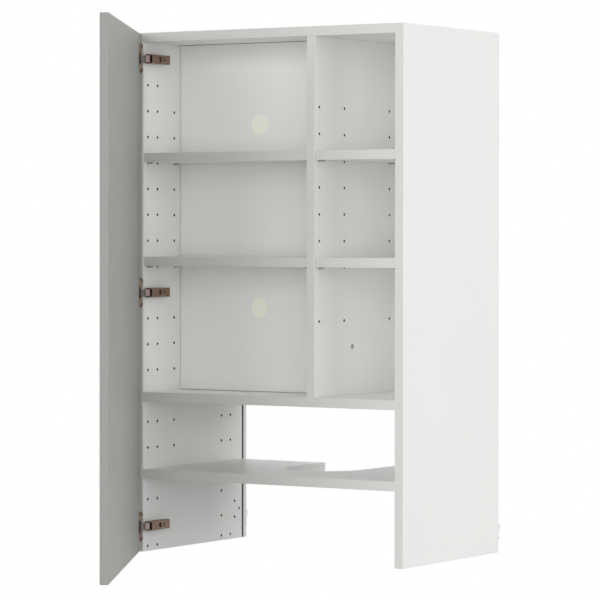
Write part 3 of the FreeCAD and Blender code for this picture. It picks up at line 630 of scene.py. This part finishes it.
def soft_mesh(node):
    """A copy of a node's mesh with its edges broken, and its windows or small holes corrected."""
    low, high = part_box(node)
    board = SLOTS[node] in BOARD_SLOTS
    shape = bmesh.new()
    shape.from_mesh(NODES[node].data)
    bmesh.ops.remove_doubles(shape, verts=shape.verts, dist=ON_FACE / 2)
    bmesh.ops.dissolve_limit(shape, angle_limit=FLAT, verts=shape.verts, edges=shape.edges)
    if node.endswith("hinge_arm"):
        open_windows(shape, low, high)
    if SLOTS[node] == "white_board":
        round_holes(shape, low, high)
    sharp = [edge for edge in shape.edges if edge.is_manifold and edge.calc_face_angle(0.0) > SHARP]
    if board:
        sharp = outer_edges(sharp, shape, DOOR_AXES if node == "door" else FRAME_AXES)
    bmesh.ops.bevel(shape, geom=sharp, offset=BOARD_ARRIS if board else METAL_ARRIS, segments=ARRIS_STEPS,
                    profile=ARRIS_PROFILE, affect="EDGES", clamp_overlap=not board)
    bmesh.ops.triangulate(shape, faces=[face for face in shape.faces if len(face.verts) > 4])
    for face in shape.faces:
        face.smooth = not board
    mesh = bpy.data.meshes.new("soft_" + node)
    shape.to_mesh(mesh)
    shape.free()
    # The frame's own normals don't fit the new faces
    stale = mesh.attributes.get("custom_normal")
    if stale:
        mesh.attributes.remove(stale)
    if not board:
        mesh.set_sharp_from_angle(angle=ROUND)
    return mesh


def soften(node):
    """Adds a softened piece that stands for a node."""
    mesh = soft_mesh(node)
    mesh.materials.append(finish_of(node))
    piece = bpy.data.objects.new("soft_" + node, mesh)
    bpy.context.scene.collection.objects.link(piece)
    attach(piece, BODIES[node])
    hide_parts(node)


def dress_nodes():
    """Softens each node that shows, and gives the rest their finish as they are."""
    for node, source in NODES.items():
        if node in HIDDEN:
            source.data.materials.clear()
            source.data.materials.append(finish_of(node))
        else:
            soften(node)


def add_camera():
    """The photograph's camera: a long lens, a little shifted, to the right of the part."""
    yaw, pitch, roll = (math.radians(angle) for angle in (CAMERA_YAW, CAMERA_PITCH, CAMERA_ROLL))
    forward = Vector((-math.sin(yaw) * math.cos(pitch), math.cos(yaw) * math.cos(pitch), math.sin(pitch)))
    level = Vector((math.cos(yaw), math.sin(yaw), 0))
    upright = level.cross(forward)
    right = level * math.cos(roll) + upright * math.sin(roll)
    up = upright * math.cos(roll) - level * math.sin(roll)
    data = bpy.data.cameras.new("photo_camera")
    data.sensor_width = SENSOR_MM
    data.lens = FOCAL_PIXELS * SENSOR_MM / IMAGE_SIZE
    data.shift_y = (AXIS_ROW - IMAGE_SIZE / 2) / IMAGE_SIZE
    data.clip_end = CAMERA_REACH
    camera = bpy.data.objects.new("photo_camera", data)
    turn = Matrix((right, up, -forward)).transposed().to_4x4()
    camera.matrix_world = Matrix.Translation(CAMERA_PLACE) @ turn
    bpy.context.scene.collection.objects.link(camera)
    bpy.context.scene.camera = camera


# Light: large soft boxes round the part, given by name, place, size in metres and power in watts
SOFT_BOXES = (
    ("right_box", Vector((4.5, -0.6, 0.2)), 3.0, 65.0),
    ("rear_right_box", Vector((4.2, 1.4, 0.2)), 3.0, 56.0),
    ("camera_box", Vector((2.9, -4.6, 0.1)), 3.0, 58.0),
    ("front_box", Vector((-0.4, -4.8, 0.2)), 3.0, 74.0),
    ("rear_left_box", Vector((-3.2, 3.6, 0.6)), 3.0, 60.0),
)
LIGHT_TARGET = Vector((0, -0.15, -0.45))
# The boxes behind and to the right of the part would glare on the hood shelf and the top panel
UNREFLECTED = ("rear_left_box", "rear_right_box", "right_box")

# Weak lamps that fill the open bays: one for each opening of the left bay, by the boards under and over it
# and its power in watts per square metre, and one for the right bay, of a power in watts
LEFT_BAY_OPENINGS = (
    ("mid_panel", "left_shelf_lower", 0.80),
    ("left_shelf_lower", "left_shelf_upper", 0.86),
    ("left_shelf_upper", "top_panel", 0.97),
)
LEFT_BAY_INSET = 25 * MM
RIGHT_BAY_INSET = 5 * MM
RIGHT_BAY_POWER = 0.28


def add_lamp(name, place, aim, size, power):
    """A rectangular lamp of a width and a height in metres, which the camera doesn't see."""
    data = bpy.data.lights.new(name, "AREA")
    data.shape = "RECTANGLE"
    data.size, data.size_y = size
    data.energy = power
    lamp = bpy.data.objects.new(name, data)
    lamp.visible_camera = False
    lamp.visible_glossy = name not in UNREFLECTED
    lamp.matrix_world = Matrix.Translation(place) @ aim.to_track_quat("-Z", "Y").to_matrix().to_4x4()
    bpy.context.scene.collection.objects.link(lamp)


def add_soft_boxes():
    """The large lamps, all aimed at the same point."""
    for name, place, size, power in SOFT_BOXES:
        add_lamp(name, place, LIGHT_TARGET - place, (size, size), power)


def add_left_bay_lamps():
    """Lamps in front of the left bay's openings, clear of the boards and the hinges' arms."""
    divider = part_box("divider")[0]
    left, right = ARM_TOP, divider.x - LEFT_BAY_INSET
    for under, over, power in LEFT_BAY_OPENINGS:
        low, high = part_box(under)[1].z + LEFT_BAY_INSET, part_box(over)[0].z - LEFT_BAY_INSET
        opening = Vector(((left + right) / 2, divider.y, (low + high) / 2))
        wide, tall = right - left, high - low
        add_lamp("lamp_over_" + under, opening, TO_WALL, (wide, tall), power * wide * tall)


def add_right_bay_lamp():
    """A lamp against the right side's inner face, as large as the right bay."""
    front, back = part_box("divider")[0].y + RIGHT_BAY_INSET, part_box("back_panel")[0].y - RIGHT_BAY_INSET
    low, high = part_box("mid_panel")[1].z + RIGHT_BAY_INSET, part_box("top_panel")[0].z - RIGHT_BAY_INSET
    inner_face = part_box("right_side")[0].x - RIGHT_BAY_INSET
    middle = Vector((inner_face, (front + back) / 2, (low + high) / 2))
    add_lamp("right_bay_lamp", middle, -ACROSS, (back - front, high - low), RIGHT_BAY_POWER)


def seen_directly(tree):
    """Whether a ray comes from the camera, a gloss or clear plastic."""
    rays = tree.nodes.new("ShaderNodeLightPath")
    seen = rays.outputs["Is Camera Ray"]
    for name in ("Is Glossy Ray", "Is Transmission Ray"):
        either = tree.nodes.new("ShaderNodeMath")
        either.operation = "MAXIMUM"
        tree.links.new(seen, either.inputs[0])
        tree.links.new(rays.outputs[name], either.inputs[1])
        seen = either.outputs["Value"]
    return seen


# The sky is dimmer below the horizon, by a factor, and fades over this height to either side of it
SKY_STRENGTH = 0.4
SKY_BELOW = 0.3
SKY_FADE = 0.3


def add_world():
    """White where it is seen directly, and a grey sky as light."""
    world = bpy.data.worlds.new("studio")
    world.use_nodes = True
    tree = world.node_tree
    direction = tree.nodes.new("ShaderNodeTexCoord")
    axes = tree.nodes.new("ShaderNodeSeparateXYZ")
    tree.links.new(direction.outputs["Generated"], axes.inputs["Vector"])
    sky = remapped(tree, axes.outputs["Z"], (-SKY_FADE, SKY_FADE), (SKY_STRENGTH * SKY_BELOW, SKY_STRENGTH))
    background = tree.nodes["Background"]
    background.inputs["Color"].default_value = WHITE
    feed(tree, background.inputs["Strength"], remapped(tree, seen_directly(tree), (0, 1), (sky, 1)))
    bpy.context.scene.world = world


# The floor lies well under the part, which hangs on a wall, and fades out short of the photograph's view
FLOOR_DROP = 0.8
FLOOR_HALF = 3.2
FLOOR_FULL = 1.2
FLOOR_ROUGH = 0.8


def add_floor():
    """A plain pale floor, which throws less light back at the part than it shows."""
    corners = [(x * FLOOR_HALF, y * FLOOR_HALF, 0) for x, y in ((-1, -1), (1, -1), (1, 1), (-1, 1))]
    mesh = bpy.data.meshes.new("floor")
    mesh.from_pydata(corners, [], [(0, 1, 2, 3)])
    finish = Finish("pale_floor")
    finish.shader.inputs["Roughness"].default_value = FLOOR_ROUGH
    finish.colour(finish.mix(seen_directly(finish.tree), FLOOR_DIM, FLOOR_PALE))
    fade = remapped(finish.tree, finish.length(finish.place), (FLOOR_FULL, FLOOR_HALF), (1, 0), "SMOOTHSTEP")
    finish.feed(finish.shader.inputs["Alpha"], fade)
    mesh.materials.append(finish.material)
    floor = bpy.data.objects.new("floor", mesh)
    floor.location.z = CAD_BOX[0].z - FLOOR_DROP
    bpy.context.scene.collection.objects.link(floor)


dress_nodes()
add_camera()
add_soft_boxes()
add_left_bay_lamps()
add_right_bay_lamp()
add_world()
add_floor()
bpy.context.scene.view_settings.view_transform = "Standard"
